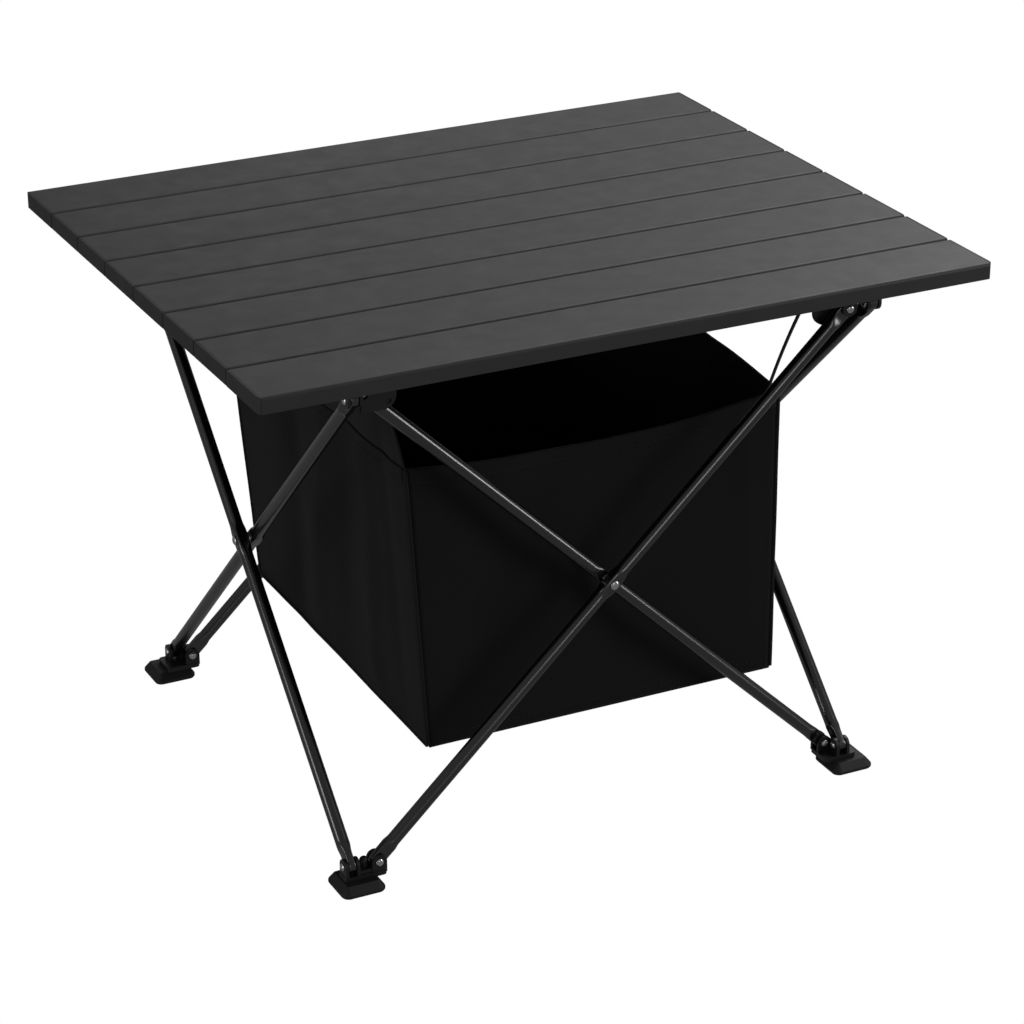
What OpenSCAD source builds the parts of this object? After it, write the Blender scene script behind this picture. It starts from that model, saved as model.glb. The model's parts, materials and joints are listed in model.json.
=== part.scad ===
// Roll-top folding camp table with a hanging cloth bag.
// Millimetres, Z up, floor at z = 0, long side of the top along X, front at -Y.
// Cross-braced tubes fold like a lattice; the slatted top lifts off and rolls up.

/* [Table top] */
// Length of the table top along X
top_length = 565; // [430:1:690]
// Width of the table top along Y
top_width = 465; // [360:1:560]
// Height of the top surface above the floor
top_height = 408; // [330:1:490]
// Depth of a slat from its top face to its bottom lips
slat_depth = 12; // [9:0.5:16]
// Sheet thickness of a slat
slat_wall = 1.3; // [1:0.1:1.8]
// Gap between two neighbouring slats
slat_gap = 1.2; // [0.8:0.1:1.8]
// Rounding along the top edges of a slat
slat_round = 2.4; // [1.8:0.1:2.9]
// Width of the inward lip at the bottom of each flange
slat_lip = 5; // [3:0.5:7]
// Thickness of the end cap plate
cap_plate = 2; // [1.5:0.1:3]
// Corner radius of the table top seen from above
top_corner = 5; // [3:0.5:8]

/* [Shock cord] */
// Radius of the elastic cord
cord_radius = 1.8; // [1.4:0.1:2.4]
// Distance from the end of the slats to the cord
cord_inset = 26; // [20:1:34]
// Distance from the top face down to the cord axis
cord_drop = 6.2; // [5:0.1:7]

/* [Frame layout] */
// Half the distance between the two hub pins of one side
pin_half_span = 188.3; // [150:0.1:216]
// Height of the hub pins above the floor
hub_pin_height = 376; // [300:1:450]
// Height of the foot pins above the floor
foot_pin_height = 19; // [17:0.5:24]
// Distance of the front and back tube planes from the middle
front_plane = 183; // [150:1:216]
// Distance of the left and right tube planes from the middle
side_plane = 203.5; // [170:0.5:236]
// Half the distance between the inner and outer tube of one crossing pair
tube_offset = 5.4; // [5.3:0.1:6.4]

/* [Tubes and pins] */
// Outer radius of a tube
tube_radius = 5; // [4.2:0.1:5]
// Wall thickness of a tube
tube_wall = 1; // [0.8:0.1:1.2]
// Thickness of the flattened tube end
tongue_thickness = 6; // [5:0.1:7]
// Radius of the rounded tube end
tongue_radius = 5.4; // [4.6:0.1:6]
// Distance from a pin to where the tube is round again
tongue_length = 16; // [14:0.5:19]
// Radius of the pins and rivets
pin_radius = 1.6; // [1.3:0.1:1.9]
// Radial clearance of a tube on its pin
pin_clearance = 0.06; // [0.03:0.01:0.1]
// Radius of the rivet heads
head_radius = 3; // [2.5:0.1:3.4]
// Height of the rivet heads
head_height = 1.5; // [1:0.1:1.8]

/* [Hubs] */
// Thickness of an ear beside a tube end
ear_thickness = 2.4; // [2:0.1:3]
// Radius of the rounded ears
ear_radius = 5.8; // [5.5:0.1:6]
// Gap between a tube end and an ear
ear_gap = 0.25; // [0.2:0.05:0.35]
// Thickness of the plate on top of a hub
hub_plate = 8; // [6:0.5:10]
// Width of the locating cone at its base
cone_base = 20; // [17:0.5:22]
// Width of the locating cone at its tip
cone_tip = 6; // [5:0.5:7]
// Height of the locating cone
cone_height = 4; // [3.4:0.1:4.6]
// Length of the post that a bag strap hangs on
post_length = 16; // [13:0.5:18]
// Radius of the post that a bag strap hangs on
post_radius = 3; // [2.5:0.1:3.5]
// How far the skirt beside a tube hangs below the hub plate
skirt_drop = 25; // [20:0.5:27]
// Radius of the round corner of the skirt
skirt_round = 10; // [7:0.5:11]
// How far the hub plate runs past an outer tube
hub_overhang = 8; // [4:0.5:10]

/* [Feet] */
// Side of the square foot pad
pad_size = 34; // [30:0.5:38]
// Corner radius of the foot pad
pad_round = 6; // [4.5:0.5:8]
// How far the sloping sides of the foot pad lean in
pad_slope = 4.5; // [3.5:0.1:4.5]
// Height of the foot pad
pad_height = 8.5; // [8:0.5:9.5]
// Sideways distance from the foot pin to the pad centre along X
pad_out_x = 15.1; // [12:0.1:18]
// Sideways distance from the foot pin to the pad centre along Y
pad_out_y = -1.8; // [-4:0.1:1]

/* [Bag] */
// Half width of the bag rim along X
rim_half_x = 149; // [122:1:170]
// Half width of the bag rim along Y
rim_half_y = 163; // [132:1:165]
// Half width of the bag floor along X
floor_half_x = 142; // [118:1:165]
// Half width of the bag floor along Y
floor_half_y = 160; // [130:1:162]
// Height of the rim above the ground
rim_height = 306; // [260:1:330]
// Height of the bag floor above the ground
bag_floor = 86; // [70:1:110]
// How far the rim of a wall hangs below its corners
rim_sag = 10; // [4:1:14]
// Thickness of the bag cloth
cloth = 1; // [0.8:0.1:1.2]
// Height of the rim hem
hem_height = 13; // [9:1:17]
// Thickness of the hem
hem_thickness = 1.8; // [1.4:0.1:2.2]
// Width of a corner strap at the hub
strap_top = 24; // [18:1:28]
// Width of a corner strap at the rim
strap_bottom = 9; // [7:1:12]
// Radius of the stitched piping on the upright bag edges
piping = 1.6; // [1.2:0.1:2]

/* [Hidden] */

slat_count = 8;
pitch = top_width / slat_count;
slat_width = pitch - slat_gap;
slat_bottom = top_height - slat_depth;
rise = hub_pin_height - foot_pin_height;
tilt = atan(rise / (2 * pin_half_span));
tube_length = sqrt(rise * rise + 4 * pin_half_span * pin_half_span);
cross_height = (hub_pin_height + foot_pin_height) / 2;
hub_top = slat_bottom - 0.3;
ear_in = tongue_thickness / 2 + ear_gap;
ear_out = ear_in + ear_thickness;
crown = hub_pin_height + ear_radius + 1;
seat_u = pin_half_span + 9;
seat_v = top_width / 2 - pitch / 2 - 8;
post_u = pin_half_span - 8;
post_v = pin_half_span - 28;
post_top = hub_top - hub_plate + 0.5;
FL = [-1, -1]; FR = [1, -1]; BL = [-1, 1]; BR = [1, 1];

function slat_y(i) = -top_width / 2 + pitch * (i - 0.5);

// ---- table top ----

module slat_profile(grow = 0) {
  w = slat_width - 2 * grow;
  h = slat_depth - grow;
  r = max(0.3, slat_round - grow);
  translate([-w / 2, -slat_depth]) square([w, h - r]);
  translate([-w / 2 + r, -slat_depth]) square([w - 2 * r, h]);
  for (s = [-1, 1]) translate([s * (w / 2 - r), -grow - r]) circle(r = r, $fn = 24);
}

module along_x(length) {
  rotate([90, 0, 90]) translate([0, 0, -length / 2]) linear_extrude(length) children();
}

// the cord runs through both flanges of a slat, but stops inside the first and the last one
module cord_holes(i) {
  from = i == 1 ? 2 * slat_wall : -1;
  to = i == slat_count ? 2 * slat_wall : -1;
  for (s = [-1, 1])
    translate([s * (top_length / 2 - cord_inset), slat_width / 2 - to, -cord_drop]) rotate([90, 0, 0])
      cylinder(r = cord_radius + 0.5, h = slat_width - from - to, $fn = 20);
}

module slat(i) {
  color([0.27, 0.28, 0.28]) in_plan() translate([0, slat_y(i), top_height]) difference() {
    along_x(top_length - 2 * cap_plate) difference() {
      slat_profile();
      translate([0, -0.01]) difference() {
        slat_profile(slat_wall);
        for (s = [-1, 1])
          translate([s * (slat_width / 2 - slat_lip / 2) - slat_lip / 2, -slat_depth - 1]) square([slat_lip, slat_wall + 1]);
      }
    }
    cord_holes(i);
  }
}

// keeps what lies inside the rounded outline of the table top
module in_plan() {
  intersection() {
    children();
    translate([0, 0, slat_bottom - 1]) linear_extrude(slat_depth + 2)
      offset(r = top_corner, $fn = 40) square([top_length - 2 * top_corner, top_width - 2 * top_corner], center = true);
  }
}

module caps(i) {
  color([0.12, 0.12, 0.12]) for (s = [-1, 1]) {
    in_plan() translate([s * (top_length / 2 - cap_plate / 2 + 0.02), slat_y(i), top_height]) along_x(cap_plate - 0.04) slat_profile();
    translate([s * (top_length / 2 - cap_plate - 4.9), slat_y(i), top_height]) along_x(10) difference() {
      plug = slat_width - 2 * slat_wall - 0.3;
      deep = slat_depth - 2 * slat_wall - 0.3;
      intersection() {
        slat_profile(slat_wall + 0.15);
        translate([-plug / 2, -slat_depth + slat_wall + 0.15]) square([plug, deep]);
      }
      translate([-plug / 2 + 2, -slat_depth + slat_wall + 2.15]) square([plug - 4, deep - 4]);
    }
  }
}

// ---- seat blocks under the first and last slat ----

module seat_blocks(sy, i) {
  wide = slat_width - 2 * slat_wall - 2 * slat_lip - 0.6;
  color([0.1, 0.1, 0.1]) for (s = [-1, 1]) difference() {
    translate([s * seat_u - 24, slat_y(i) - wide / 2, slat_bottom]) cube([48, wide, slat_depth - slat_wall - 0.1]);
    translate([s * seat_u, sy * seat_v, slat_bottom - 0.5]) cylinder(r1 = cone_base / 2 + 0.4 + 0.5, r2 = cone_tip / 2 + 0.4, h = cone_height + 0.8, $fn = 40);
    for (k = [-18, 18]) translate([s * seat_u + k, slat_y(i), slat_bottom - 1]) cylinder(r = 2.2, h = 4, $fn = 20);
    translate([0, slat_y(i), top_height]) cord_holes(0);
  }
}

// ---- elastic cords that hold the slats together ----

module shock_cords() {
  color([0.06, 0.06, 0.06]) for (s = [-1, 1]) translate([s * (top_length / 2 - cord_inset), 0, top_height - cord_drop]) {
    reach = top_width / 2 - 6;
    rotate([90, 0, 0]) cylinder(r = cord_radius, h = 2 * reach, center = true, $fn = 20);
    for (t = [-1, 1]) translate([0, t * reach, 0]) rotate([90, 0, 0]) cylinder(r = cord_radius + 1.4, h = 4, center = true, $fn = 20);
  }
}

// ---- tubes ----
// A tube lies along its own X with the pin axes along its own Y.

module tube_link() {
  straight = tube_length / 2 - tongue_length;
  color([0.09, 0.09, 0.1]) difference() {
    union() {
      difference() {
        rotate([0, 90, 0]) cylinder(r = tube_radius, h = 2 * straight, center = true, $fn = 32);
        rotate([0, 90, 0]) cylinder(r = tube_radius - tube_wall, h = 2 * straight - 2, center = true, $fn = 32);
      }
      for (s = [-1, 1]) {
        hull() {
          translate([s * (straight - 0.5), 0, 0]) rotate([0, 90, 0]) cylinder(r = tube_radius - 0.02, h = 1, center = true, $fn = 32);
          translate([s * (straight + 7), 0, 0]) cube([1, tongue_thickness, 2 * tongue_radius], center = true);
        }
        translate([s * (straight + 6.5 + (tongue_length - 6.5) / 2), 0, 0]) cube([tongue_length - 6.5, tongue_thickness, 2 * tongue_radius], center = true);
        translate([s * tube_length / 2, 0, 0]) rotate([90, 0, 0]) cylinder(r = tongue_radius, h = tongue_thickness, center = true, $fn = 40);
      }
    }
    for (s = [-1, 0, 1]) translate([s * tube_length / 2, 0, 0]) rotate([90, 0, 0])
      cylinder(r = pin_radius + pin_clearance, h = 30, center = true, $fn = 28);
  }
}

// up = 1: the +X (or +Y) end is at the hub; up = -1: it is at the foot
module front_or_back(y, up) {
  translate([0, y, cross_height]) rotate([0, -up * tilt, 0]) children();
}
module left_or_right(x, up) {
  translate([x, 0, cross_height]) rotate([up * tilt, 0, 0]) rotate([0, 0, 90]) children();
}

module tube_front_outer() { front_or_back(-front_plane - tube_offset, 1) tube_link(); }
module tube_front_inner() { front_or_back(-front_plane + tube_offset, -1) tube_link(); }
module tube_back_outer() { front_or_back(front_plane + tube_offset, -1) tube_link(); }
module tube_back_inner() { front_or_back(front_plane - tube_offset, 1) tube_link(); }
module tube_left_outer() { left_or_right(-side_plane - tube_offset, 1) tube_link(); }
module tube_left_inner() { left_or_right(-side_plane + tube_offset, -1) tube_link(); }
module tube_right_outer() { left_or_right(side_plane + tube_offset, -1) tube_link(); }
module tube_right_inner() { left_or_right(side_plane - tube_offset, 1) tube_link(); }

// a pin along Y from -half to half with a domed head on each end
module headed_pin(half, head = head_radius) {
  rotate([90, 0, 0]) cylinder(r = pin_radius, h = 2 * half + 0.2, center = true, $fn = 28);
  for (s = [-1, 1]) translate([0, s * half, 0]) rotate([-s * 90, 0, 0]) rotate_extrude($fn = 28)
    polygon([[0, 0], [head, 0], [head, head_height * 0.35], [head * 0.72, head_height * 0.8], [head * 0.35, head_height], [0, head_height]]);
}

module crossing() {
  color([0.75, 0.75, 0.76]) {
    headed_pin(tube_offset + tube_radius + 0.1, head_radius + 0.4);
    rotate([90, 0, 0]) cylinder(r = 4.4, h = 2 * (tube_offset - tube_radius) - 0.1, center = true, $fn = 32);
  }
}
module rivet_front() { translate([0, -front_plane, cross_height]) crossing(); }
module rivet_back() { translate([0, front_plane, cross_height]) crossing(); }
module rivet_left() { translate([-side_plane, 0, cross_height]) rotate([0, 0, 90]) crossing(); }
module rivet_right() { translate([side_plane, 0, cross_height]) rotate([0, 0, 90]) crossing(); }

// ---- hubs and feet ----
// Both are drawn in the corner +X +Y and mirrored; kind is 1 where the outer tubes end, -1 where the inner ones do.

module corner(c) { mirror([c[0] < 0 ? 1 : 0, 0, 0]) mirror([0, c[1] < 0 ? 1 : 0, 0]) children(); }
function front_v(kind) = front_plane + kind * tube_offset;
function side_u(kind) = side_plane + kind * tube_offset;

// two ears around a tube end, pin along Y, joined by a solid from z = to to z = tz
module ears(reach, dir) {
  for (s = [-1, 1]) translate([0, s * (ear_in + ear_out) / 2, 0]) {
    rotate([90, 0, 0]) cylinder(r = ear_radius, h = ear_thickness, center = true, $fn = 40);
    translate([0, 0, dir * reach / 2]) cube([2 * ear_radius, ear_thickness, reach], center = true);
  }
}
// a plate with one round lower corner
module skirt(length) {
  translate([skirt_round, 0, 0]) cube([length - skirt_round, ear_thickness, skirt_drop + 0.5]);
  translate([0, 0, skirt_round]) cube([skirt_round + 1, ear_thickness, skirt_drop - skirt_round + 0.5]);
  translate([skirt_round, ear_thickness, skirt_round]) rotate([90, 0, 0]) cylinder(r = skirt_round, h = ear_thickness, $fn = 40);
}
module pin_hole() { rotate([90, 0, 0]) cylinder(r = pin_radius + 0.02, h = 2 * ear_out + 2, center = true, $fn = 28); }

module hub(kind) {
  fv = front_v(kind);
  su = side_u(kind);
  low = hub_top - hub_plate;
  reach = low - hub_pin_height + 0.5;
  u0 = pin_half_span - 24;
  u1 = su + ear_out + (kind > 0 ? hub_overhang : 0);
  v0 = min(pin_half_span - 20, seat_v - cone_base / 2 - 2);
  v1 = max(fv + ear_out, seat_v + cone_base / 2 + 2);
  skirt_v = kind < 0 ? fv + tube_radius + 0.35 : fv - tube_radius - 0.35 - ear_thickness;
  color([0.11, 0.11, 0.11]) difference() {
    union() {
      translate([u0 + 3, v0 + 3, low]) linear_extrude(hub_plate) offset(r = 3, $fn = 24) square([u1 - u0 - 6, v1 - v0 - 6]);
      translate([seat_u, seat_v, hub_top - 0.1]) cylinder(r1 = cone_base / 2, r2 = cone_tip / 2, h = cone_height, $fn = 40);
      translate([pin_half_span, fv, hub_pin_height]) ears(reach, 1);
      translate([pin_half_span - ear_radius, fv - ear_out, crown]) cube([2 * ear_radius, 2 * ear_out, low - crown + 0.5]);
      translate([su, pin_half_span, hub_pin_height]) rotate([0, 0, 90]) ears(reach, 1);
      translate([su - ear_out, pin_half_span - ear_radius, crown]) cube([2 * ear_out, 2 * ear_radius, low - crown + 0.5]);
      // skirt: it hangs in front of an inner tube, or behind an outer one
      translate([u0, skirt_v, low - skirt_drop]) skirt(pin_half_span + 2.2 - u0);
      // arm and post for the bag strap
      translate([post_u, post_v, low]) cylinder(r = post_radius + 2.5, h = hub_plate - 2, $fn = 32);
      translate([post_u - post_radius - 2.5, post_v, low]) cube([2 * post_radius + 5, v0 - post_v + 1, hub_plate - 2]);
      translate([post_u, post_v, post_top - post_length]) cylinder(r = post_radius, h = post_length, $fn = 32);
      translate([post_u, post_v, post_top - post_length - 2]) cylinder(r = post_radius + 1.2, h = 2, $fn = 32);
    }
    translate([pin_half_span, fv, hub_pin_height]) pin_hole();
    translate([su, pin_half_span, hub_pin_height]) rotate([0, 0, 90]) pin_hole();
    // room for the pin head in the skirt, and a screw recess
    translate([pin_half_span, fv - kind * (ear_out + 1.5), hub_pin_height]) rotate([90, 0, 0])
      cylinder(r = head_radius + 0.6, h = 3, center = true, $fn = 28);
    translate([u0 + 6, skirt_v + ear_thickness - 1, low - skirt_drop + 6]) rotate([-90, 0, 0]) cylinder(r = 2.2, h = 3, $fn = 24);
  }
}

module hub_pins(kind) {
  color([0.75, 0.75, 0.76]) {
    translate([pin_half_span, front_v(kind), hub_pin_height]) headed_pin(ear_out + 0.03);
    translate([side_u(kind), pin_half_span, hub_pin_height]) rotate([0, 0, 90]) headed_pin(ear_out + 0.03);
  }
}

module foot(kind) {
  fv = front_v(kind);
  su = side_u(kind);
  floor_z = foot_pin_height - ear_radius - 1;
  reach = foot_pin_height - pad_height - 2;
  boss = 6;
  u0 = pin_half_span - ear_radius - 0.2;
  u1 = max(su + ear_out, pin_half_span + pad_out_x + boss) + 0.4;
  v0 = min(fv - ear_out, pin_half_span - ear_radius, pin_half_span + pad_out_y - boss) - 0.3;
  v1 = max(fv + ear_out, pin_half_span + ear_radius) + 0.3;
  color([0.1, 0.1, 0.1]) difference() {
    union() {
      translate([u0 + 3, v0 + 3, pad_height + 0.02]) linear_extrude(floor_z - pad_height) offset(r = 3, $fn = 24) square([u1 - u0 - 6, v1 - v0 - 6]);
      translate([pin_half_span, fv, foot_pin_height]) ears(reach, -1);
      translate([su, pin_half_span, foot_pin_height]) rotate([0, 0, 90]) ears(reach, -1);
      // web between the two pairs of ears
      translate([pin_half_span + ear_radius - 1, pin_half_span - 5, floor_z - 1]) cube([su - ear_in - pin_half_span - ear_radius, 10, ear_radius + 2 - head_radius - 0.6]);
      translate([pin_half_span + pad_out_x, pin_half_span + pad_out_y, pad_height - 6]) cylinder(r = boss, h = 7.6, $fn = 32);
      // round hood between the two pairs of ears
      hood = (side_u(kind) - ear_out - 0.03 - head_height - 0.5 - pin_half_span - ear_radius - 0.4) / 2;
      if (kind > 0) translate([pin_half_span + ear_radius + 0.4 + hood, pin_half_span - 1, floor_z - 1]) {
        cylinder(r = hood, h = foot_pin_height + 2 - floor_z, $fn = 32);
        translate([0, 0, foot_pin_height + 2 - floor_z]) sphere(r = hood, $fn = 32);
      }
    }
    translate([pin_half_span, fv, foot_pin_height]) pin_hole();
    translate([su, pin_half_span, foot_pin_height]) rotate([0, 0, 90]) pin_hole();
  }
}

module foot_pins(kind) {
  color([0.75, 0.75, 0.76]) {
    translate([pin_half_span, front_v(kind), foot_pin_height]) headed_pin(ear_out + 0.03);
    translate([side_u(kind), pin_half_span, foot_pin_height]) rotate([0, 0, 90]) headed_pin(ear_out + 0.03);
  }
}

module pad() {
  color([0.07, 0.07, 0.07]) translate([pin_half_span + pad_out_x, pin_half_span + pad_out_y, 0]) difference() {
    union() {
      pad_layer(0, 1.2, 0.8);
      pad_layer(1, 2, 0);
      hull() {
        pad_layer(2.6, 0.4, 0);
        pad_layer(pad_height - 0.4, 0.4, pad_slope);
      }
    }
    translate([0, 0, pad_height - 6.1]) cylinder(r = 6.06, h = 8, $fn = 32);
  }
}
module pad_layer(z, h, inset) {
  r = pad_round - inset;
  translate([0, 0, z]) linear_extrude(h) offset(r = r, $fn = 32) square(pad_size - 2 * pad_round, center = true);
}

// ---- bag ----
// A wall is drawn upright facing -Y with its middle at x = 0 and then set out, turned and leaned.

module wall(top_half, low_half, set_top, set_low) {
  height = rim_height - bag_floor;
  lean = atan((set_top - set_low) / height);
  arc = [for (k = [-12:12]) let (x = top_half * k / 12) [x, height - rim_sag * (1 - pow(k / 12, 2))]];
  band = [for (k = [12:-1:-12]) let (x = (top_half - 0.4) * k / 12) [x, height - hem_height - rim_sag * (1 - pow(k / 12, 2))]];
  translate([0, -set_low, bag_floor]) rotate([lean, 0, 0]) {
    rotate([90, 0, 0]) translate([0, 0, -cloth / 2]) linear_extrude(cloth) polygon(concat([[-low_half, 0]], arc, [[low_half, 0]]));
    rotate([90, 0, 0]) translate([0, 0, cloth / 2 - 0.2]) linear_extrude(hem_thickness - cloth + 0.2) polygon(concat(arc, band));
  }
}
end_gap = cloth / 2 + 0.6;
module bag_front() { color([0.07, 0.07, 0.07]) wall(rim_half_x - end_gap, floor_half_x - end_gap, rim_half_y, floor_half_y); }
module bag_back() { color([0.07, 0.07, 0.07]) rotate([0, 0, 180]) wall(rim_half_x - end_gap, floor_half_x - end_gap, rim_half_y, floor_half_y); }
module side_wall() {
  rotate([0, 0, 90]) wall(rim_half_y - 0.2, floor_half_y - 0.2, rim_half_x, floor_half_x);
  for (s = [-1, 1]) hull() {
    translate([rim_half_x + piping - 0.7, s * (rim_half_y - 0.4), rim_height - 0.5]) sphere(r = piping, $fn = 16);
    translate([floor_half_x + piping - 0.7, s * (floor_half_y - 0.4), bag_floor + 1]) sphere(r = piping, $fn = 16);
  }
}
module bag_right() { color([0.07, 0.07, 0.07]) side_wall(); }
// the cloth of the left wall runs on into its corner strap
module bag_left() { color([0.07, 0.07, 0.07]) { mirror([1, 0, 0]) side_wall(); corner(FL) strap(); } }
module floor_half() {
  translate([0.3, -floor_half_y + 1.2, bag_floor]) cube([floor_half_x - 1.5, 2 * floor_half_y - 2.4, cloth]);
}
module bag_floor_right() { color([0.06, 0.06, 0.06]) floor_half(); }
module bag_floor_left() { color([0.06, 0.06, 0.06]) mirror([1, 0, 0]) floor_half(); }

// a diagonal strap from inside a rim corner up to the sleeve on the hub post
module strap() {
  d = sqrt(0.5);
  a = rim_half_x - 8.5;
  b = rim_half_y - 6.5;
  h = post_top - 3;
  g = post_radius + 1.4;
  color([0.08, 0.08, 0.08]) {
    hull() for (s = [-1, 1]) {
      translate([a + s * d * strap_bottom / 2, b - s * d * strap_bottom / 2, rim_height - 6]) cylinder(r = cloth * 0.6, h = 0.5, $fn = 12);
      translate([post_u - g * d + s * d * strap_top / 2, post_v - g * d - s * d * strap_top / 2, h - 12]) cylinder(r = cloth * 0.6, h = 11, $fn = 12);
    }
    difference() {
      translate([post_u, post_v, h - 12]) cylinder(r = post_radius + 1.5, h = 12, $fn = 32);
      translate([post_u, post_v, h - 13]) cylinder(r = post_radius + 0.1, h = 14, $fn = 32);
    }
  }
}

module slat_1() { slat(1); } module slat_2() { slat(2); } module slat_3() { slat(3); } module slat_4() { slat(4); }
module slat_5() { slat(5); } module slat_6() { slat(6); } module slat_7() { slat(7); } module slat_8() { slat(8); }
module seat_block_front() { seat_blocks(-1, 1); }
module seat_block_back() { seat_blocks(1, 8); }

slat_1();
slat_2();
slat_3();
slat_4();
slat_5();
slat_6();
slat_7();
slat_8();
caps(1);  // caps_1
caps(2);  // caps_2
caps(3);  // caps_3
caps(4);  // caps_4
caps(5);  // caps_5
caps(6);  // caps_6
caps(7);  // caps_7
caps(8);  // caps_8
seat_block_front();
seat_block_back();
shock_cords();
tube_front_outer();
tube_front_inner();
tube_left_outer();
tube_left_inner();
tube_back_outer();
tube_back_inner();
tube_right_outer();
tube_right_inner();
rivet_front();
rivet_left();
rivet_back();
rivet_right();
corner(FL) hub(-1);  // hub_fl
corner(FR) hub(1);  // hub_fr
corner(BL) hub(1);  // hub_bl
corner(BR) hub(-1);  // hub_br
corner(FL) hub_pins(-1);  // hub_pins_fl
corner(FR) hub_pins(1);  // hub_pins_fr
corner(BL) hub_pins(1);  // hub_pins_bl
corner(BR) hub_pins(-1);  // hub_pins_br
corner(FL) foot(1);  // foot_fl
corner(FR) foot(-1);  // foot_fr
corner(BL) foot(-1);  // foot_bl
corner(BR) foot(1);  // foot_br
corner(FL) pad();  // pad_fl
corner(FR) pad();  // pad_fr
corner(BL) pad();  // pad_bl
corner(BR) pad();  // pad_br
corner(FL) foot_pins(1);  // foot_pins_fl
corner(FR) foot_pins(-1);  // foot_pins_fr
corner(BL) foot_pins(-1);  // foot_pins_bl
corner(BR) foot_pins(1);  // foot_pins_br
bag_front();
bag_back();
bag_left();
bag_right();
bag_floor_left();
bag_floor_right();
corner(FR) strap();  // strap_fr
corner(BL) strap();  // strap_bl
corner(BR) strap();  // strap_br
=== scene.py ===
# %% [markdown]
# # A roll-top camp table
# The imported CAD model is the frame: slats, tubes, hubs and feet. This script gives it its looks.
# It adds the cloth bag, the finer tubes and cords, the materials, the lights and the camera.
# Lengths are in metres once they are in the scene; sizes written here are in millimetres.

# %%
import json
import math

import bmesh
import bpy
import numpy as np
from mathutils import Matrix, Vector


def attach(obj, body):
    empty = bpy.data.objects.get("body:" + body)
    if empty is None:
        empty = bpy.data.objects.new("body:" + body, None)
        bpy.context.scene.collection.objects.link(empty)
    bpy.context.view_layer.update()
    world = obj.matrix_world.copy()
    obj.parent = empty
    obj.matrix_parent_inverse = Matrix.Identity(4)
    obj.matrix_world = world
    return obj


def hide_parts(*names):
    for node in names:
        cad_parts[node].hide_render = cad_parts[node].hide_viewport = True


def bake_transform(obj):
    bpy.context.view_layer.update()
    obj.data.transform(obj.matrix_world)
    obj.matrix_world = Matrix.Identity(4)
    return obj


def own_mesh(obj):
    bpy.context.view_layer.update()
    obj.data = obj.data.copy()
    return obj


MM = 0.001
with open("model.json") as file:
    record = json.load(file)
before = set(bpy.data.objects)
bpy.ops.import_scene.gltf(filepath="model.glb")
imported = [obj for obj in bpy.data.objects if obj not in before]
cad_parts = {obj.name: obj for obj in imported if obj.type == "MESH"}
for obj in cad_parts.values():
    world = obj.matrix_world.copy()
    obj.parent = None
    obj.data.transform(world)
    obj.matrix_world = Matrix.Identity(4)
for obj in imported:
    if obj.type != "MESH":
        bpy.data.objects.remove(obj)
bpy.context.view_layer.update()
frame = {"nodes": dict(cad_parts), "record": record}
cad = frame["nodes"]
body_of_node = {n: b for b, ns in frame["record"]["behaviour"]["bodies"].items() for n in ns}
rng = np.random.default_rng(485)

# %% [markdown]
# ## Sizes shared with the CAD source

# %%
TOP_L, TOP_W, TOP_H, SLAT_DEPTH = 565, 465, 408, 12
PITCH = TOP_W / 8
SPAN, HUB_Z, FOOT_Z = 188.3, 376, 19
PLANE_Y, PLANE_X, OFFSET = 183, 203.5, 5.4
CROSS_Z = (HUB_Z + FOOT_Z) / 2
TILT = math.atan2(HUB_Z - FOOT_Z, 2 * SPAN)
TUBE_L = math.hypot(HUB_Z - FOOT_Z, 2 * SPAN)
TUBE_R, TONGUE_T, TONGUE_R, TONGUE_L = 5, 6, 5.4, 16

# %% [markdown]
# ## Colours and material helpers
# Colours are written as sRGB hex and made linear in one place.


# %%
def linear(hex_colour):
    """'#rrggbb' as linear RGBA."""
    parts = [int(hex_colour[i : i + 2], 16) / 255 for i in (1, 3, 5)]
    return [p / 12.92 if p <= 0.04045 else ((p + 0.055) / 1.055) ** 2.4 for p in parts] + [1.0]


def add(tree, kind, **inputs):
    """Adds a shader node. A socket value is a number, a colour, or another node's output; other names are node settings."""
    made = tree.nodes.new(kind)
    for name, value in inputs.items():
        socket = name.replace("_", " ")
        found = next((s for s in made.inputs if s.name.lower() == socket.lower() and s.enabled), None)
        if found is None:
            setattr(made, name, value)
        elif isinstance(value, bpy.types.NodeSocket):
            tree.links.new(value, found)
        else:
            found.default_value = value
    return made


def math_node(tree, operation, a, b=None):
    made = tree.nodes.new("ShaderNodeMath")
    made.operation = operation
    for socket, value in zip(made.inputs, (a, b)):
        if isinstance(value, bpy.types.NodeSocket):
            tree.links.new(value, socket)
        elif value is not None:
            socket.default_value = value
    return made.outputs[0]


def new_material(name):
    """A material with only its Principled shader; returns (material, tree, shader, object coordinates)."""
    m = bpy.data.materials.new(name)
    m.use_nodes = True
    tree = m.node_tree
    shader = tree.nodes["Principled BSDF"]
    coords = tree.nodes.new("ShaderNodeTexCoord")
    return m, tree, shader, coords


def set_shader(tree, shader, **inputs):
    for name, value in inputs.items():
        socket = shader.inputs[name.replace("_", " ")]
        if isinstance(value, bpy.types.NodeSocket):
            tree.links.new(value, socket)
        else:
            socket.default_value = value


def mixed(tree, factor, a, b):
    """Colour a where factor is 0 and b where it is 1."""
    made = tree.nodes.new("ShaderNodeMix")
    made.data_type = "RGBA"
    tree.links.new(factor, made.inputs["Factor"])
    for socket, value in zip([s for s in made.inputs if s.type == "RGBA"], (a, b)):
        if isinstance(value, bpy.types.NodeSocket):
            tree.links.new(value, socket)
        else:
            socket.default_value = value
    return next(s for s in made.outputs if s.type == "RGBA")


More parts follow.
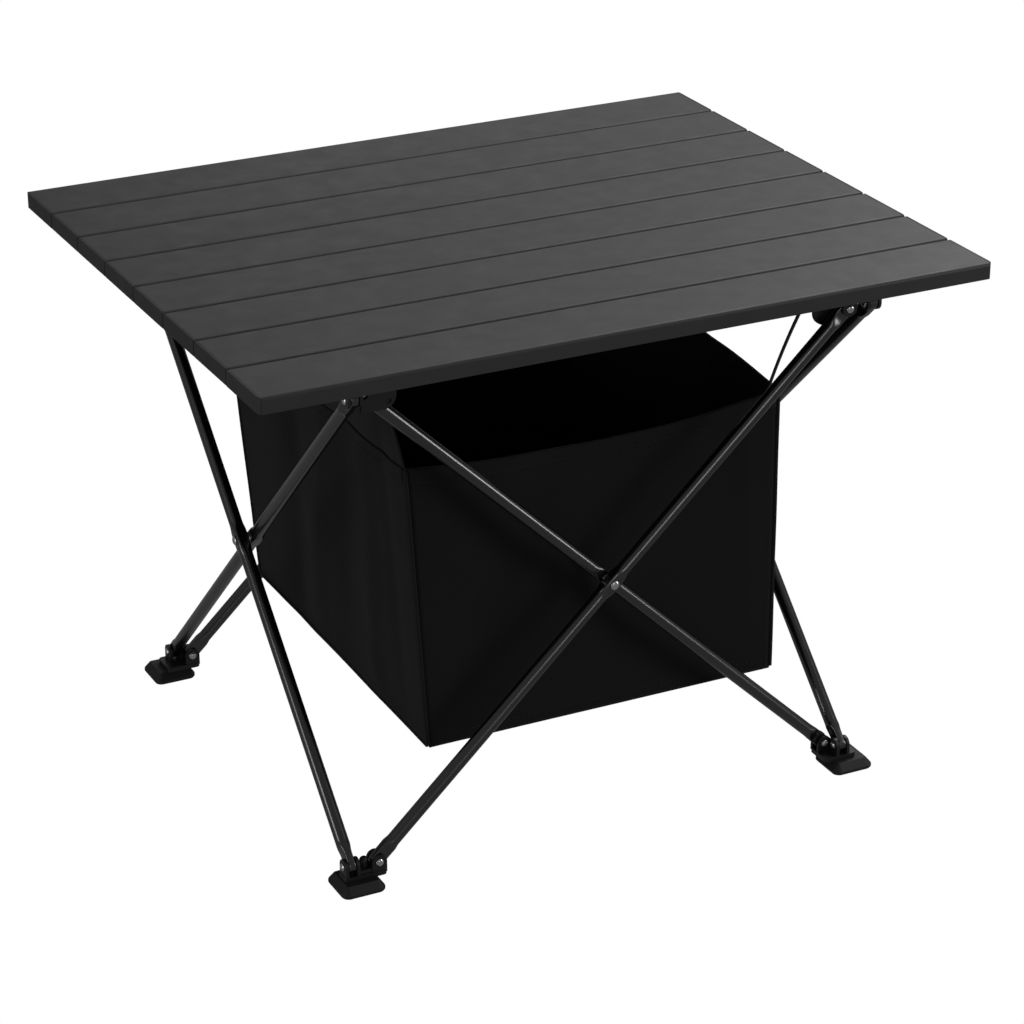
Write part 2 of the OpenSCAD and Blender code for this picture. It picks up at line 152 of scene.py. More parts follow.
def spread(tree, value, low, high, to_low, to_high):
    made = add(tree, "ShaderNodeMapRange", From_Min=low, From_Max=high, To_Min=to_low, To_Max=to_high)
    tree.links.new(value, made.inputs["Value"])
    return made.outputs["Result"]


# %% [markdown]
# ## Materials
# Coated slats: a fine-textured charcoal powder coat with faint handling marks.


# %%
def coated(name, hex_a, hex_b, rough, grain_mm, bump_mm):
    m, t, s, c = new_material(name)
    cloud = add(t, "ShaderNodeTexNoise", Vector=c.outputs["Object"], Scale=9.0, Detail=3.0, Roughness=0.6)
    grain = add(t, "ShaderNodeTexNoise", Vector=c.outputs["Object"], Scale=1000 / grain_mm, Detail=2.0)
    smear = add(t, "ShaderNodeTexNoise", Vector=c.outputs["Object"], Scale=60.0, Detail=5.0)
    colour = mixed(t, spread(t, cloud.outputs["Fac"], 0.35, 0.65, 0, 1), linear(hex_a), linear(hex_b))
    bump = add(t, "ShaderNodeBump", Height=grain.outputs["Fac"], Strength=0.5, Distance=bump_mm * MM)
    set_shader(t, s, Base_Color=colour, Roughness=spread(t, smear.outputs["Fac"], 0.3, 0.7, rough - 0.04, rough + 0.05), Normal=bump.outputs["Normal"])
    return m


slat_coat = coated("slat_coat", "#323233", "#363637", 0.45, 0.35, 0.02)
cap_plastic = coated("cap_plastic", "#262627", "#2a2a2b", 0.55, 0.5, 0.03)
nylon = coated("nylon", "#19191a", "#1e1e1f", 0.38, 0.45, 0.03)
pad_rubber = coated("pad_rubber", "#141414", "#181818", 0.6, 0.6, 0.05)

# %% [markdown]
# The tubes are black anodised and satin, with very fine drawing lines along them.
# The coordinate along a tube is in its UV map, so the lines follow it.


# %%
def anodised():
    m, t, s, c = new_material("tube_black")
    stretch = add(t, "ShaderNodeMapping", Vector=c.outputs["UV"], Scale=(20.0, 900.0, 1.0))
    lines = add(t, "ShaderNodeTexNoise", Vector=stretch.outputs["Vector"], Scale=1.0, Detail=2.0)
    bump = add(t, "ShaderNodeBump", Height=lines.outputs["Fac"], Strength=0.02, Distance=0.002 * MM)
    set_shader(t, s, Base_Color=linear("#5c5c5e"), Metallic=1.0, Roughness=spread(t, lines.outputs["Fac"], 0.3, 0.7, 0.21, 0.27), Normal=bump.outputs["Normal"])
    s.inputs["Coat Weight"].default_value = 0.4
    s.inputs["Coat Roughness"].default_value = 0.14
    return m


def bright_metal():
    m, t, s, c = new_material("rivet_bright")
    scuff = add(t, "ShaderNodeTexNoise", Vector=c.outputs["Object"], Scale=1500.0, Detail=3.0)
    bump = add(t, "ShaderNodeBump", Height=scuff.outputs["Fac"], Strength=0.2, Distance=0.02 * MM)
    set_shader(t, s, Base_Color=linear("#d9d9da"), Metallic=1.0, Roughness=0.24, Normal=bump.outputs["Normal"])
    return m


tube_black = anodised()
rivet_bright = bright_metal()

# %% [markdown]
# The bag is a plain-woven polyester. Warp and weft are two sine waves in UV, which is in metres of cloth.


# %%
def woven(name, hex_low, hex_high, thread_mm, bump_mm, rough=0.82, slub=0.5):
    m, t, s, c = new_material(name)
    axes = add(t, "ShaderNodeSeparateXYZ", Vector=c.outputs["UV"])
    turn = 2 * math.pi * 1000 / (2 * thread_mm)
    warp = math_node(t, "SINE", math_node(t, "MULTIPLY", axes.outputs["X"], turn))
    weft = math_node(t, "SINE", math_node(t, "MULTIPLY", axes.outputs["Y"], turn))
    over = math_node(t, "MULTIPLY", warp, weft)
    fuzz = add(t, "ShaderNodeTexNoise", Vector=c.outputs["UV"], Scale=1000 / thread_mm / 6, Detail=3.0)
    height = math_node(t, "ADD", over, math_node(t, "MULTIPLY", fuzz.outputs["Fac"], slub))
    cloud = add(t, "ShaderNodeTexNoise", Vector=c.outputs["UV"], Scale=14.0, Detail=4.0)
    shade = math_node(t, "ADD", math_node(t, "MULTIPLY", spread(t, over, -1, 1, 0, 1), 0.6), math_node(t, "MULTIPLY", spread(t, cloud.outputs["Fac"], 0.3, 0.7, 0, 1), 0.4))
    bump = add(t, "ShaderNodeBump", Height=height, Strength=0.6, Distance=bump_mm * MM)
    set_shader(t, s, Base_Color=mixed(t, shade, linear(hex_low), linear(hex_high)), Roughness=rough, Normal=bump.outputs["Normal"])
    s.inputs["Sheen Weight"].default_value = 0.06
    s.inputs["Sheen Roughness"].default_value = 0.45
    s.inputs["Specular IOR Level"].default_value = 0.25
    return m


bag_cloth = woven("bag_cloth", "#0e0e0e", "#151515", 0.45, 0.09)
webbing = woven("webbing", "#0f0f10", "#191919", 1.1, 0.2, 0.75)
braid = woven("braid", "#141414", "#262626", 0.9, 0.2, 0.7)
thread = woven("thread", "#1c1c1d", "#2a2a2b", 0.3, 0.05, 0.6)

# %% [markdown]
# ## Dressing the CAD parts
# Modifiers round the sharp edges a little; the CAD vertices themselves stay as they are.


# %%
def dress(node, material, bevel_mm=0.35, angle=35):
    o = cad[node]
    o.data.materials.clear()
    o.data.materials.append(material)
    weld = o.modifiers.new("weld", "WELD")
    weld.merge_threshold = 0.00001
    flat = o.modifiers.new("flat", "DECIMATE")
    flat.decimate_type = "DISSOLVE"
    flat.angle_limit = math.radians(0.6)
    if bevel_mm:
        b = o.modifiers.new("edges", "BEVEL")
        b.width = bevel_mm * MM
        b.segments = 2
        b.limit_method = "ANGLE"
        b.angle_limit = math.radians(angle)
        b.use_clamp_overlap = True
        b.harden_normals = True
    for p in o.data.polygons:
        p.use_smooth = True
    if not bevel_mm:
        return o
    n = o.modifiers.new("normals", "WEIGHTED_NORMAL")
    n.keep_sharp = True
    return o


for n in cad:
    if n.startswith("slat_"):
        dress(n, slat_coat, 0.15, 40)
    elif n.startswith("caps_"):
        dress(n, cap_plastic, 0.3, 40)
    elif n.startswith("pad_"):
        dress(n, pad_rubber, 0.5, 30)
    elif n.startswith(("hub_pins", "foot_pins", "rivet_")):
        dress(n, rivet_bright, 0.12, 30)
    elif n.startswith(("hub_", "foot_", "seat_")):
        dress(n, nylon, 0.5, 30)

# %% [markdown]
# ## Mesh helpers


# %%
def new_object(name, bm, material, body=None, nodes=(), smooth=True):
    """A finished object at the origin from a bmesh in millimetres, riding on a CAD body."""
    bmesh.ops.scale(bm, vec=(MM, MM, MM), verts=bm.verts)
    bmesh.ops.recalc_face_normals(bm, faces=bm.faces)
    for f in bm.faces:
        f.smooth = smooth
    mesh = bpy.data.meshes.new(name)
    bm.to_mesh(mesh)
    bm.free()
    o = bpy.data.objects.new(name, mesh)
    bpy.context.scene.collection.objects.link(o)
    for m in material if isinstance(material, list) else [material]:
        mesh.materials.append(m)
    if body:
        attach(o, body)
    if nodes:
        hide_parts(*nodes)
    return o


def skin(bm, rings, closed=True, cap=True, uv_scale=(1.0, 1.0)):
    """Faces between successive rings of points, with UVs in metres along and around."""
    uv = bm.loops.layers.uv.verify()
    rows = [[bm.verts.new(p) for p in ring] for ring in rings]
    n = len(rows[0])
    along = np.concatenate([[0], np.cumsum([np.linalg.norm(np.mean(rings[i + 1], 0) - np.mean(rings[i], 0)) for i in range(len(rings) - 1)])])
    step = np.linalg.norm(np.array(rings[len(rings) // 2][1]) - np.array(rings[len(rings) // 2][0]))
    for i in range(len(rows) - 1):
        for j in range(n if closed else n - 1):
            k = (j + 1) % n
            f = bm.faces.new((rows[i][j], rows[i][k], rows[i + 1][k], rows[i + 1][j]))
            spots = ((i, j), (i, j + 1), (i + 1, j + 1), (i + 1, j))
            for loop, (a, b) in zip(f.loops, spots):
                loop[uv].uv = (along[a] * MM * uv_scale[0], b * step * MM * uv_scale[1])
    if closed and cap:
        for row, flip in ((rows[0], True), (rows[-1], False)):
            bm.faces.new(row[::-1] if flip else row)
    return rows


# %% [markdown]
# ## Tubes
# Round in the middle, pressed flat at both ends, and slightly flattened where two of them cross.


# %%
def tube_rings(around=48):
    half = TUBE_L / 2
    stations = np.unique(
        np.concatenate(
            [
                -half - TONGUE_R * np.cos(np.linspace(0.02, math.pi / 2, 12)),
                np.linspace(-half, -half + TONGUE_L + 6, 22),
                np.linspace(-half + TONGUE_L + 6, -18, 8),
                np.linspace(-18, 18, 25),
            ]
        )
    )
    stations = np.unique(np.round(np.concatenate([stations, -stations]), 4))
    rings = []
    for s in stations:
        from_pin = half - abs(s)
        t = np.clip((from_pin - 8.5) / (TONGUE_L - 6), 0, 1)
        t = t * t * (3 - 2 * t)
        thick = (1 - t) * TONGUE_T / 2 + t * TUBE_R
        wide = (1 - t) * TONGUE_R + t * TUBE_R
        if from_pin < 0:
            wide = math.sqrt(max(TONGUE_R**2 - from_pin**2, 0.01))
        press = math.exp(-((s / 8.5) ** 4))
        power = 2 + 5 * (1 - t) + 3.2 * press
        wide += 0.35 * press
        a = np.linspace(0, 2 * math.pi, around, endpoint=False)
        c, d = np.cos(a), np.sin(a)
        y = np.sign(c) * np.abs(c) ** (2 / power) * (thick - 0.12 * press)
        z = np.sign(d) * np.abs(d) ** (2 / power) * wide
        rings.append(np.c_[np.full(around, s), y, z])
    return rings


SIDES = {
    "front_outer": ((0, -PLANE_Y - OFFSET), 1, "y"),
    "front_inner": ((0, -PLANE_Y + OFFSET), -1, "y"),
    "back_outer": ((0, PLANE_Y + OFFSET), -1, "y"),
    "back_inner": ((0, PLANE_Y - OFFSET), 1, "y"),
    "left_outer": ((-PLANE_X - OFFSET, 0), 1, "x"),
    "left_inner": ((-PLANE_X + OFFSET, 0), -1, "x"),
    "right_outer": ((PLANE_X + OFFSET, 0), -1, "x"),
    "right_inner": ((PLANE_X - OFFSET, 0), 1, "x"),
}
for side, ((x, y), up, axis) in SIDES.items():
    if axis == "y":
        place = Matrix.Translation((x, y, CROSS_Z)) @ Matrix.Rotation(-up * TILT, 4, "Y")
    else:
        place = Matrix.Translation((x, y, CROSS_Z)) @ Matrix.Rotation(up * TILT, 4, "X") @ Matrix.Rotation(math.pi / 2, 4, "Z")
    bm = bmesh.new()
    skin(bm, tube_rings())
    bmesh.ops.transform(bm, matrix=place, verts=bm.verts)
    new_object(f"satin_tube_{side}", bm, tube_black, f"tube_{side}", [f"tube_{side}"])

# %% [markdown]
# ## The cloth bag
# Each wall is a quilted-free single layer between its four corners, with soft folds, a hem and stitches.
# A wall's place is a function of u (0 to 1 along) and v (0 to 1 up), so trims can follow the same surface.

# %%
RIM = {"fl": (-149, -163, 306), "fr": (149, -163, 310), "br": (149, 163, 309), "bl": (-149, 163, 306)}
LOW = {"fl": (-135, -163, 86), "fr": (149, -163, 86), "br": (145, 160, 86), "bl": (-131, 160, 86)}
CLOTH, HEM, HEM_T = 0.9, 12.5, 1.0


def wall_surface(a, b, sag, bow, folds, lift=0.0):
    """The wall from corner a to corner b, seen from outside: a is on the left."""
    low_a, low_b, rim_a, rim_b = (np.array(p, float) for p in (LOW[a], LOW[b], RIM[a], RIM[b]))
    along = (rim_b - rim_a) / np.linalg.norm(rim_b - rim_a)
    outward = np.cross(along, (0, 0, 1))
    outward /= np.linalg.norm(outward)

    def at(u, v):
        p = (1 - v) * ((1 - u) * low_a + u * low_b) + v * ((1 - u) * rim_a + u * rim_b)
        p = p + np.array((0, 0, -sag * v**3 * (1 - (2 * u - 1) ** 2) + lift))
        edge = max(0.0, 1 - abs(2 * u - 1) ** 5) * min(1.0, 9 * v + 0.15)
        off = bow * math.sin(math.pi * u) * (0.25 + 0.75 * v**1.5)
        for depth, middle, slant, width, low, high in folds:
            d = (u - middle - slant * (v - 0.5)) / width
            fade = 1 / (1 + math.exp(-(v - low) * 14)) / (1 + math.exp((v - high) * 14))
            off += depth * math.exp(-d * d) * fade
        ripple = 0.5 * math.sin(9.1 * u + 3.3 * v + bow) + 0.35 * math.sin(17.3 * u - 6.1 * v + 2 * bow) + 0.3 * math.sin(11.0 * v + 5.0 * u)
        return p + outward * edge * (off + ripple)

    def normal(u, v):
        e = 0.004
        n = np.cross(at(min(u + e, 1), v) - at(max(u - e, 0), v), at(u, min(v + e, 1)) - at(u, max(v - e, 0)))
        return n / np.linalg.norm(n)

    return at, normal, np.linalg.norm(rim_b - rim_a), 222.0


def shell(bm, at, normal, us, vs, size, thick, lift=0.0):
    """A closed cloth layer over the grid us by vs; size is the flat width and height in millimetres."""
    uv = bm.loops.layers.uv.verify()
    sides = []
    for face_offset in (lift + thick / 2, lift - thick / 2):
        grid = []
        for v in vs:
            grid.append([bm.verts.new(at(u, v) + normal(u, v) * face_offset) for u in us])
        sides.append(grid)
    front, back = sides

    def quad(a, b, c, d, spots):
        f = bm.faces.new((a, b, c, d))
        for loop, (u, v) in zip(f.loops, spots):
            loop[uv].uv = (u * size[0] * MM, v * size[1] * MM)

    n, m = len(vs), len(us)
    for i in range(n - 1):
        for j in range(m - 1):
            spots = ((us[j], vs[i]), (us[j + 1], vs[i]), (us[j + 1], vs[i + 1]), (us[j], vs[i + 1]))
            quad(front[i][j], front[i][j + 1], front[i + 1][j + 1], front[i + 1][j], spots)
            quad(back[i + 1][j], back[i + 1][j + 1], back[i][j + 1], back[i][j], spots[::-1])
    edge = [(i, 0) for i in range(n)] + [(n - 1, j) for j in range(1, m)] + [(i, m - 1) for i in range(n - 2, -1, -1)] + [(0, j) for j in range(m - 2, 0, -1)]
    for (i, j), (k, l) in zip(edge, edge[1:] + edge[:1]):
        spot = ((us[j], vs[i]),) * 4
        quad(front[i][j], front[k][l], back[k][l], back[i][j], spot)


def cord_along(bm, points, radius, around=10):
    """A round cord through points, with flat ends."""
    points = [np.array(p, float) for p in points]
    side = None
    rings = []
    for i, p in enumerate(points):
        t = points[min(i + 1, len(points) - 1)] - points[max(i - 1, 0)]
        t /= np.linalg.norm(t)
        if side is None:
            side = np.cross(t, (0.31, 0.94, 0.13))
        side = side - t * (side @ t)
        side /= np.linalg.norm(side)
        up = np.cross(t, side)
        rings.append([p + radius * (math.cos(a) * side + math.sin(a) * up) for a in np.linspace(0, 2 * math.pi, around, endpoint=False)])
    skin(bm, rings)


def stitch(bm, p, along, out, length=2.6, wide=0.5, high=0.35):
    """One thread stitch lying on the cloth."""
    along = along / np.linalg.norm(along)
    across = np.cross(out, along)
    base, top = [], []
    for s, w in ((-0.5, 0.4), (-0.3, 1.0), (0.3, 1.0), (0.5, 0.4)):
        for t in (-1, 1):
            base.append(p + along * s * length + across * t * wide / 2 * w - out * 0.1)
            top.append(p + along * s * length + across * t * wide / 4 * w + out * high * w)
    b = [bm.verts.new(q) for q in base]
    t = [bm.verts.new(q) for q in top]
    for k in range(0, 6, 2):
        bm.faces.new((t[k], t[k + 1], t[k + 3], t[k + 2]))
        bm.faces.new((b[k], t[k], t[k + 2], b[k + 2]))
        bm.faces.new((t[k + 1], b[k + 1], b[k + 3], t[k + 3]))
    bm.faces.new((b[0], b[1], t[1], t[0]))
    bm.faces.new((b[6], t[6], t[7], b[7]))


# %% [markdown]
# The four walls. Each fold is (depth, middle, slant, width, from, to), in millimetres and shares of the wall.

# %%
WALLS = {
    "front": ("fl", "fr", 11.5, -3.0, [(-3.0, 0.22, 0.35, 0.10, -0.1, 1.1), (2.2, 0.42, 0.55, 0.09, 0.0, 0.9), (-2.4, 0.68, 0.5, 0.12, 0.0, 1.1), (1.5, 0.93, -0.04, 0.03, 0.1, 0.95)]),
    "right": ("fr", "br", -5.0, 6.0, [(-2.5, 0.3, 0.1, 0.08, 0.2, 1.1), (2.0, 0.6, -0.12, 0.07, 0.0, 0.9)]),
    "back": ("br", "bl", 10.0, -4.0, [(-2.5, 0.3, -0.3, 0.11, 0.0, 1.1), (2.0, 0.6, 0.3, 0.10, 0.0, 1.0)]),
    "left": ("bl", "fl", 8.0, -5.0, [(-3.2, 0.30, 0.10, 0.055, -0.1, 0.95), (2.6, 0.44, 0.16, 0.05, 0.0, 1.0), (-2.8, 0.60, 0.10, 0.06, 0.1, 1.1), (2.4, 0.74, 0.05, 0.045, 0.0, 0.8), (-1.8, 0.88, -0.02, 0.03, 0.1, 1.1)]),
}
# what each wall rides on, then an axis, an edge point and a share of the wall's width
HOME = {
    "front": ("hub_fl", (1, 0, 0), (-149, 0, 0), 0.085),
    "back": ("hub_bl", (1, 0, 0), (-149, 0, 0), 0.085),
    "left": ("hub_fl", (0, 1, 0), (0, -163, 0), 0.165),
    "right": ("hub_fr", (0, 1, 0), (0, -163, 0), 0.165),
}
surfaces, panels, trims = {}, {}, {}
for side, (a, b, sag, bow, folds) in WALLS.items():
    at, normal, wide, tall = surfaces[side] = wall_surface(a, b, sag, bow, folds)
    us, vs = np.linspace(0.003, 0.997, 72), np.linspace(0.0, 1.0, 56)
    bm = bmesh.new()
    shell(bm, at, normal, us, vs, (wide, tall), CLOTH)
    panels[side] = new_object(f"bag_{side}_panel", bm, bag_cloth)

    bm = bmesh.new()
    hem_low = 1 - HEM / tall
    hem_at = lambda u, v, at=at: at(u, min(v, 1.0)) + np.array((0, 0, max(v - 1, 0) * 222))
    shell(bm, hem_at, normal, np.linspace(0.006, 0.994, 72), np.array([hem_low, hem_low + 0.002, 0.97, 0.99, 1.0, 1.004]), (wide, tall), HEM_T, CLOTH / 2 + HEM_T / 2 + 0.05)
    trims[side] = [new_object(f"bag_{side}_hem", bm, bag_cloth)]

    bm = bmesh.new()
    count = int(wide / 4.2)
    for row in (hem_low + 0.007,):
        for k in range(2, count - 1):
            u = k / count
            n = normal(u, row)
            stitch(bm, at(u, row) + n * (CLOTH / 2 + HEM_T + 0.08), at(u + 0.01, row) - at(u - 0.01, row), n)
    for k in range(2, count - 1):
        u = k / count
        n = normal(u, 0.028)
        stitch(bm, at(u, 0.028) + n * (CLOTH / 2 + 0.05), at(u + 0.01, 0.028) - at(u - 0.01, 0.028), n)
    trims[side].append(new_object(f"bag_{side}_stitches", bm, thread))

    bm = bmesh.new()
    cord_along(bm, [at(u, 0.0) + np.array((0, 0, -0.6)) for u in np.linspace(0.004, 0.996, 60)], 1.5)
    trims[side].append(new_object(f"bag_{side}_bottom_binding", bm, webbing))

# %% [markdown]
# The front left corner: the left wall's cloth runs on upwards, in a wedge, to the sleeve on the hub post.
# The other three corners have narrow straps.

# %%
POST = (180.3, 160.3)
POST_TOP = TOP_H - SLAT_DEPTH - 0.3 - 8 + 0.5
left_at, left_normal, left_wide, left_tall = surfaces["left"]


def wedge_at(u, v):
    low = left_at(1 - 0.62 * (1 - u), 1.0 - 0.002)
    top = np.array((-176.5 + 1.5 * u, -146.5 - 24.5 * u, POST_TOP - 4))
    bend = v * v * (3 - 2 * v)
    p = low * (1 - v) + top * v
    waist = math.sin(math.pi * v)
    return p + np.array((-2.0 * waist * math.sin(math.pi * u), -(1.5 + 2.5 * u) * waist * u, -3.0 * waist * (1 - u))) + np.array((1.2 * math.sin(7 * u + 2.0) * bend * (1 - bend) * 4, 0, 0))


def wedge_normal(u, v):
    e = 0.01
    n = np.cross(wedge_at(min(u + e, 1), v) - wedge_at(max(u - e, 0), v), wedge_at(u, min(v + e, 1)) - wedge_at(u, max(v - e, 0)))
    return n / np.linalg.norm(n)


bm = bmesh.new()
shell(bm, wedge_at, wedge_normal, np.linspace(0, 1, 40), np.linspace(0, 1, 26), (110, 90), CLOTH)
trims["left"].append(new_object("bag_left_wedge", bm, bag_cloth))
bm = bmesh.new()
for k in range(24):
    v = 0.02 + k / 25.5
    n = wedge_normal(0.96, v)
    stitch(bm, wedge_at(0.93, v) + n * (CLOTH / 2 + 0.05), wedge_at(0.93, v + 0.01) - wedge_at(0.93, v - 0.01), n)
trims["left"].append(new_object("bag_left_wedge_stitches", bm, thread))

STRAPS = {"fl": (-1, -1, "hub_fl"), "fr": (1, -1, "hub_fr"), "bl": (-1, 1, "hub_bl"), "br": (1, 1, "hub_br")}
straps = {}
for c, (sx, sy, home) in STRAPS.items():
    post = np.array((sx * POST[0], sy * POST[1], 0))
    inward = np.array((-sx, -sy, 0)) / math.sqrt(2)
    across = np.array((sx, -sy, 0)) / math.sqrt(2)
    bm = bmesh.new()
    ring = []
    for a in np.linspace(0, 2 * math.pi, 28, endpoint=False):
        ring.append((math.cos(a), math.sin(a)))
    outer, inner = 4.6, 3.15
    levels = [(outer - 0.25, POST_TOP - 15), (outer, POST_TOP - 14.6), (outer, POST_TOP - 3.4), (outer - 0.25, POST_TOP - 3), (inner, POST_TOP - 3), (inner, POST_TOP - 15)]
    rings = [[post + np.array((r * x, r * y, z)) for x, y in ring] for r, z in levels + levels[:1]]
    rows = [[bm.verts.new(p) for p in rg] for rg in rings[:-1]]
    rows.append(rows[0])
    uv = bm.loops.layers.uv.verify()
    for i in range(len(rows) - 1):
        for j in range(28):
            k = (j + 1) % 28
            f = bm.faces.new((rows[i][j], rows[i][k], rows[i + 1][k], rows[i + 1][j]))
            for loop, (p, q) in zip(f.loops, ((i, j), (i, j + 1), (i + 1, j + 1), (i + 1, j))):
                loop[uv].uv = (q * 0.001, p * 0.004)
    if c != "fl":
        rim = np.array(RIM[c], float)
        low = rim + inward * 9.5 + np.array((0, 0, -7.0))
        top = post + inward * 4.8 + np.array((0, 0, POST_TOP - 9.0))

        def strap_at(u, v, low=low, top=top, across=across, inward=inward, hang=0):
            half = (1 - v) * 4.6 + v * 11.5 - 1.5 * math.sin(math.pi * v)
            drop = np.array((0, 0, 1.0))
            centre = low * (1 - v) + top * v + inward * 1.6 * math.sin(math.pi * v)
            return centre + across * (2 * u - 1) * half + drop * 0.6 * math.sin(math.pi * u)

        def strap_normal(u, v, f=strap_at):
            n = np.cross(f(min(u + 0.02, 1), v) - f(max(u - 0.02, 0), v), f(u, min(v + 0.02, 1)) - f(u, max(v - 0.02, 0)))
            return n / np.linalg.norm(n)

        shell(bm, strap_at, strap_normal, np.linspace(0, 1, 10), np.linspace(-0.04, 1.0, 22), (20, 90), 1.3)
    straps[c] = new_object(f"strap_{c}_loop", bm, webbing)

# %% [markdown]
# Corner seams, a piped edge from the bottom corner up to the rim.

# %%
seams = {}
for c, (left_of, right_of) in {"fl": ("left", "front"), "fr": ("front", "right"), "br": ("right", "back"), "bl": ("back", "left")}.items():
    first, second = surfaces[left_of][0], surfaces[right_of][0]
    path = []
    outward = np.array((np.sign(RIM[c][0]), np.sign(RIM[c][1]), 0)) / math.sqrt(2)
    for v in np.linspace(0.0, 0.995, 60):
        wobble = 0.5 * math.sin(13 * v + len(path) * 0.02)
        path.append((first(0.997, v) + second(0.003, v)) / 2 + outward * (0.9 + 0.2 * wobble))
    bm = bmesh.new()
    cord_along(bm, path, 1.55, 12)
    seams[c] = new_object(f"bag_corner_{c}", bm, webbing)

# %% [markdown]
# The floor, in two halves that fold up along the middle.

# %%
floors = {}
for side, sx in (("left", -1), ("right", 1)):
    out_f = {-1: -134.0, 1: 146.5}[sx]

    def floor_at(u, v, sx=sx, out_f=out_f):
        x = (out_f * (1 - u) + 0.25 * sx * u) if sx < 0 else (0.25 * u + out_f * (1 - u))
        y = -160.2 + 318.4 * v
        sink = 1.6 * math.sin(math.pi * v) * math.sin(math.pi * u) + 0.2 * math.sin(5 * v + 3 * u) * math.sin(math.pi * v)
        return np.array((x, y, 86.8 - sink))

    def floor_normal(u, v):
        return np.array((0, 0, 1.0))

    bm = bmesh.new()
    shell(bm, floor_at, floor_normal, np.linspace(0, 1, 30), np.linspace(0, 1, 44), (140, 318), 1.0)
    floors[side] = new_object(f"bag_floor_{side}_panel", bm, bag_cloth)
    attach(floors[side], f"bag_floor_{side}")
    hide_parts(f"bag_floor_{side}")
    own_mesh(floors[side])

for side, (home, axis, anchor, keep) in HOME.items():
    for o in [panels[side]] + trims[side]:
        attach(o, home)
        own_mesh(o)
    wide = surfaces[side][2]
    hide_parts(f"bag_{side}")
for c, (sx, sy, home) in STRAPS.items():
    for o in (straps[c], seams[c]):
        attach(o, home)
    if c != "fl":
        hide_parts(f"strap_{c}")

# %% [markdown]
# ## Shock cords
# One length of braided elastic inside each slat, and a short link over each gap.

# %%
CORD_X, CORD_Z, CORD_R = TOP_L / 2 - 26, TOP_H - 6.2, 1.8


def cord_bits(name, y0, y1, steps):
    bm = bmesh.new()
    for sx in (-1, 1):
        cord_along(bm, [(sx * CORD_X, y, CORD_Z) for y in np.linspace(y0, y1, steps)], CORD_R, 12)
    return new_object(name, bm, braid)


edge_y = TOP_W / 2
for i in range(1, 9):
    y0, y1 = -edge_y + PITCH * (i - 1), -edge_y + PITCH * i
    o = cord_bits(f"cord_in_slat_{i}", y0 + (6 if i == 1 else 1.2), y1 - (6 if i == 8 else 1.2), 3)
    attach(o, f"slat_{i}")
    if i == 1:
        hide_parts("shock_cords")
    if i < 8:
        link = cord_bits(f"cord_link_{i}", y1 - 1.2, y1 + 1.2, 7)
        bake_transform(link)
bm = bmesh.new()
knots = {"front": (-edge_y + 6, "slat_1"), "back": (edge_y - 6, "slat_8")}
bm.free()
for which, (y, home) in knots.items():
    bm = bmesh.new()
    for sx in (-1, 1):
        for dy, r in ((0, 3.0),):
            rings = []
            for t in np.linspace(-1, 1, 11):
                w = r * math.sqrt(max(1 - t * t, 0.02)) * (1 + 0.06 * math.sin(9 * t))
                rings.append([(sx * CORD_X + w * math.cos(a), y + 2.4 * t, CORD_Z + w * math.sin(a)) for a in np.linspace(0, 2 * math.pi, 16, endpoint=False)])
            skin(bm, rings)
    o = new_object(f"cord_knots_{which}", bm, braid)
    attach(o, home)

# %% [markdown]
# ## Camera
# Its place, turn and lens come from fitting the slat ends, tubes and feet to the photo.

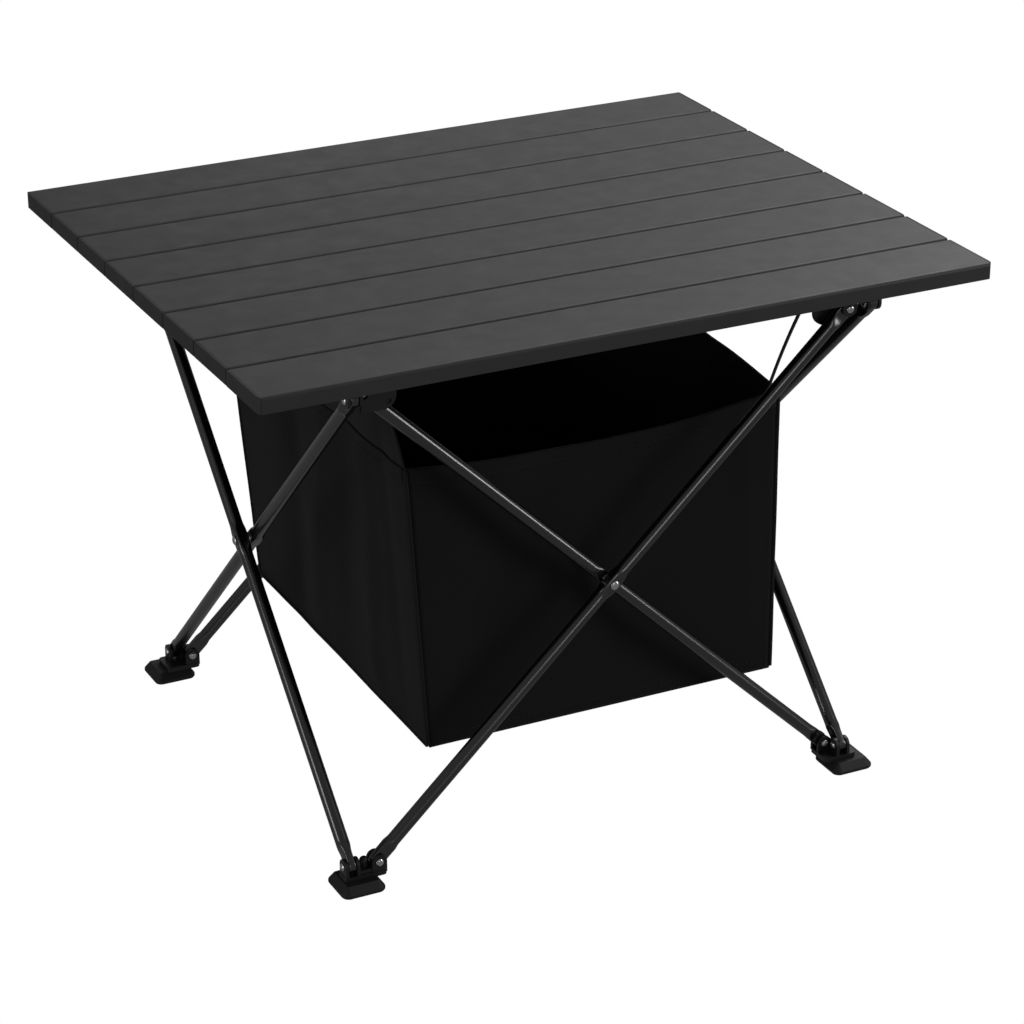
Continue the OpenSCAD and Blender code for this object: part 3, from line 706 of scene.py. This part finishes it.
# %%
turn = Matrix(((0.896304, 0.185288, -0.402873), (-0.443426, 0.367339, -0.817579), (-0.003497, 0.911444, 0.411409)))
camera_data = bpy.data.cameras.new("camera")
camera_data.lens = 116.2631
camera_data.sensor_width = 36
camera_data.clip_end = 20
camera = bpy.data.objects.new("camera", camera_data)
bpy.context.scene.collection.objects.link(camera)
camera.matrix_world = Matrix.Translation((-1.008, -2.07308, 1.2174)) @ turn.to_4x4()
bpy.context.scene.camera = camera


# %% [markdown]
# ## Lights
# A large soft light above, a long one to each side for the thin highlights on the tubes, and a weak fill.


# %%
def light(name, place, aim, size, watts, colour="#ffffff"):
    data = bpy.data.lights.new(name, "AREA")
    data.shape = "RECTANGLE"
    data.size, data.size_y = size
    data.energy = watts
    data.color = linear(colour)[:3]
    o = bpy.data.objects.new(name, data)
    bpy.context.scene.collection.objects.link(o)
    o.matrix_world = Matrix.Translation(place) @ (Vector(place) - Vector(aim)).to_track_quat("Z", "Y").to_matrix().to_4x4()
    o.visible_camera = False
    return o


middle = (0, 0, 0.25)
light("overhead", (1.5, 0.7, 1.9), middle, (1.5, 1.7), 22)
light("right_strip", (2.0, -1.6, 1.0), middle, (0.35, 1.8), 15)
light("left_strip", (-2.4, -0.3, 0.5), middle, (0.3, 1.6), 7)
light("front_fill", (-0.2, -2.8, 0.8), middle, (0.4, 1.0), 3.2)
light("back_gloss", (1.7, 2.2, 1.35), (-0.1, 0, 0.4), (2.6, 1.2), 4.5)

world = bpy.data.worlds.new("studio")
bpy.context.scene.world = world
world.use_nodes = True
wt = world.node_tree
wt.nodes.clear()
path = wt.nodes.new("ShaderNodeLightPath")
white = add(wt, "ShaderNodeBackground", Color=(1, 1, 1, 1), Strength=1.0)
soft = add(wt, "ShaderNodeBackground", Color=(1, 1, 1, 1), Strength=0.16)
mix = wt.nodes.new("ShaderNodeMixShader")
out = wt.nodes.new("ShaderNodeOutputWorld")
wt.links.new(path.outputs["Is Camera Ray"], mix.inputs[0])
wt.links.new(soft.outputs[0], mix.inputs[1])
wt.links.new(white.outputs[0], mix.inputs[2])
wt.links.new(mix.outputs[0], out.inputs["Surface"])

scene = bpy.context.scene
scene.view_settings.view_transform = "Standard"
scene.view_settings.look = "None"
scene.render.resolution_x = scene.render.resolution_y = 1024
